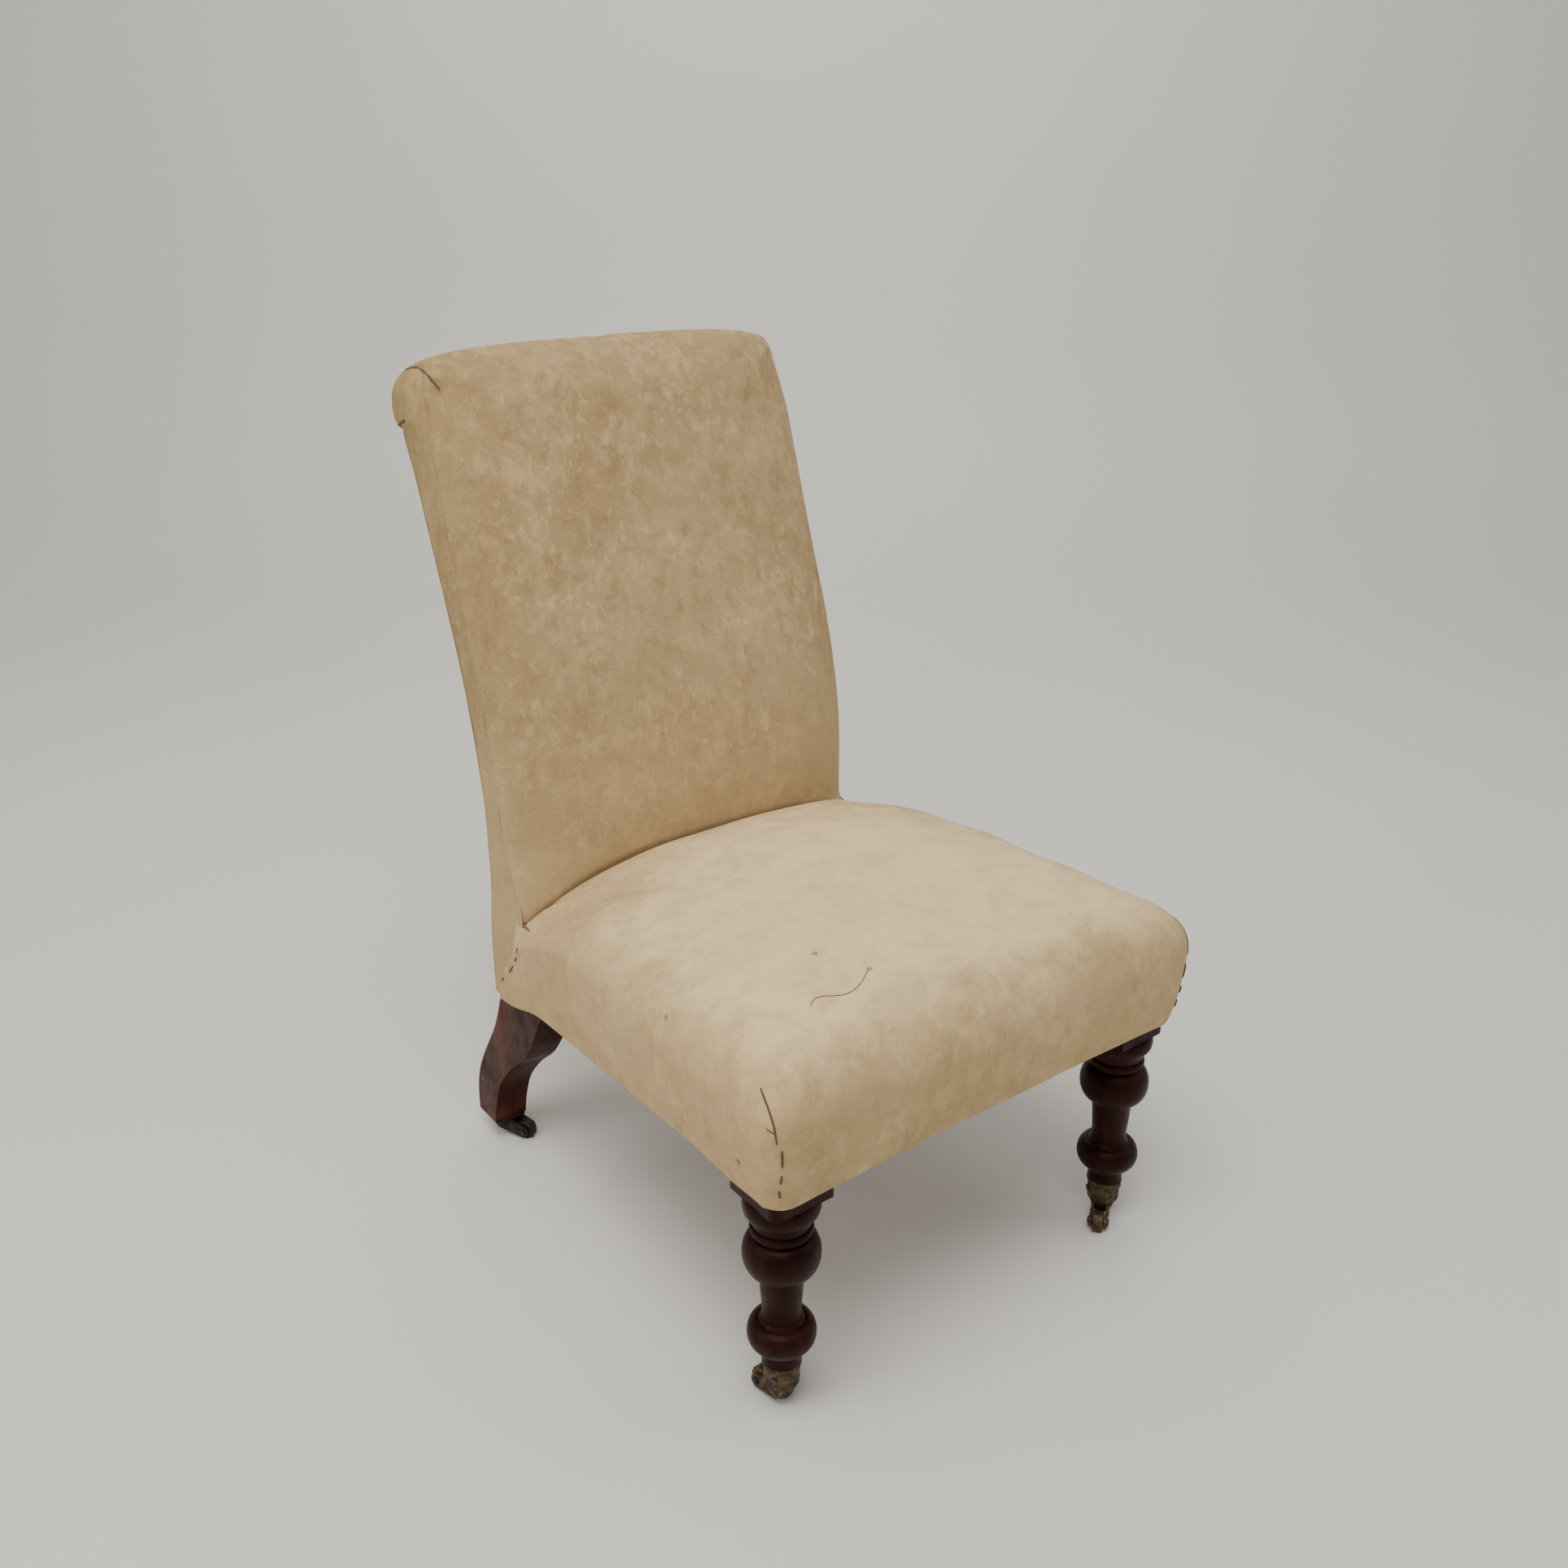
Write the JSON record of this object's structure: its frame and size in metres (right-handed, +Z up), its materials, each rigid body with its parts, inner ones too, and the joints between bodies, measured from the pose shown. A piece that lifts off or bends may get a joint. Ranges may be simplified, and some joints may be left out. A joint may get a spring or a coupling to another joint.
{
  "type": "slipper chair",
  "caption": "Low armless upholstered chair with a sprung domed seat, a raked scroll-topped back, turned front legs and swept back legs on swivelling casters.",
  "frame": {"origin": "centre of the bounding box in plan, on the floor under the wheels", "axes": "+Z up, -Y the way the chair faces, +X towards the left of a person sitting in it"},
  "size_m": [0.514, 0.6762, 0.858],
  "materials": {
    "cover_fabric": "worn short pile, matte",
    "mahogany": "dark satin polish",
    "beech": "bare, sawn",
    "aged_brass": "dull, patinated",
    "dark_iron": "dark, worn",
    "tack_steel": "blued",
    "spring_steel": "coppered wire",
    "jute_webbing": "coarse woven",
    "hessian": "open weave",
    "hair_stuffing": "curled fibre"
  },
  "bodies": {
    "chair": {"front_leg_right": "mahogany", "front_leg_left": "mahogany", "rear_leg_right": "mahogany", "rear_leg_left": "mahogany", "front_seat_rail": "beech", "rear_seat_rail": "beech", "side_seat_rail_right": "beech", "side_seat_rail_left": "beech", "front_corner_block_right": "beech", "front_corner_block_left": "beech", "rear_corner_block_right": "beech", "rear_corner_block_left": "beech", "back_top_rail": "beech", "back_lower_rail": "beech", "frame_dowels": "beech", "corner_block_screws": "tack_steel", "seat_webbing_crosswise": "jute_webbing", "seat_webbing_lengthwise": "jute_webbing", "webbing_tacks": "tack_steel", "seat_springs": "spring_steel", "seat_hessian": "hessian", "seat_stuffing": "hair_stuffing", "seat_cover": "cover_fabric", "cover_tacks": "tack_steel", "back_webbing_upright": "jute_webbing", "back_webbing_crosswise": "jute_webbing", "back_hessian": "hessian", "back_stuffing": "hair_stuffing", "top_roll_stuffing": "hair_stuffing", "inside_back_cover": "cover_fabric", "outside_back_cover": "cover_fabric", "back_facing_right": "cover_fabric", "back_facing_left": "cover_fabric", "front_caster_cup_right": "aged_brass", "front_caster_cup_left": "aged_brass", "rear_caster_plate_right": "dark_iron", "rear_caster_plate_left": "dark_iron", "caster_screws": "dark_iron"},
    "caster_front_right": {"caster_horn_front_right": "aged_brass", "caster_spindle_front_right": "dark_iron", "caster_axle_front_right": "dark_iron"},
    "wheel_front_right": {"caster_wheel_front_right": "aged_brass"},
    "caster_front_left": {"caster_horn_front_left": "aged_brass", "caster_spindle_front_left": "dark_iron", "caster_axle_front_left": "dark_iron"},
    "wheel_front_left": {"caster_wheel_front_left": "aged_brass"},
    "caster_rear_right": {"caster_horn_rear_right": "dark_iron", "caster_spindle_rear_right": "dark_iron", "caster_axle_rear_right": "dark_iron"},
    "wheel_rear_right": {"caster_wheel_rear_right": "dark_iron"},
    "caster_rear_left": {"caster_horn_rear_left": "dark_iron", "caster_spindle_rear_left": "dark_iron", "caster_axle_rear_left": "dark_iron"},
    "wheel_rear_left": {"caster_wheel_rear_left": "dark_iron"}
  },
  "joints": [
    {"name": "swivel_front_right", "type": "hinge", "parent": "chair", "child": "caster_front_right", "pos_m": [-0.2115, -0.29021, 0.02], "axis": [0, 0, 1], "continuous": true},
    {"name": "roll_front_right", "type": "hinge", "parent": "caster_front_right", "child": "wheel_front_right", "pos_m": [-0.21324, -0.26527, 0.011], "axis": [-0.9976, -0.0698, 0], "continuous": true},
    {"name": "swivel_front_left", "type": "hinge", "parent": "chair", "child": "caster_front_left", "pos_m": [0.2115, -0.29021, 0.02], "axis": [0, 0, 1], "continuous": true},
    {"name": "roll_front_left", "type": "hinge", "parent": "caster_front_left", "child": "wheel_front_left", "pos_m": [0.19077, -0.30419, 0.011], "axis": [0.5592, -0.829, 0], "continuous": true},
    {"name": "swivel_rear_right", "type": "hinge", "parent": "chair", "child": "caster_rear_right", "pos_m": [-0.22061, 0.22479, 0.02], "axis": [0, 0, 1], "continuous": true},
    {"name": "roll_rear_right", "type": "hinge", "parent": "caster_rear_right", "child": "wheel_rear_right", "pos_m": [-0.20655, 0.19943, 0.011], "axis": [0.8746, 0.4848, 0], "continuous": true},
    {"name": "swivel_rear_left", "type": "hinge", "parent": "chair", "child": "caster_rear_left", "pos_m": [0.22061, 0.22479, 0.02], "axis": [0, 0, 1], "continuous": true},
    {"name": "roll_rear_left", "type": "hinge", "parent": "caster_rear_left", "child": "wheel_rear_left", "pos_m": [0.21458, 0.19642, 0.011], "axis": [0.9781, -0.2079, 0], "continuous": true}
  ]
}
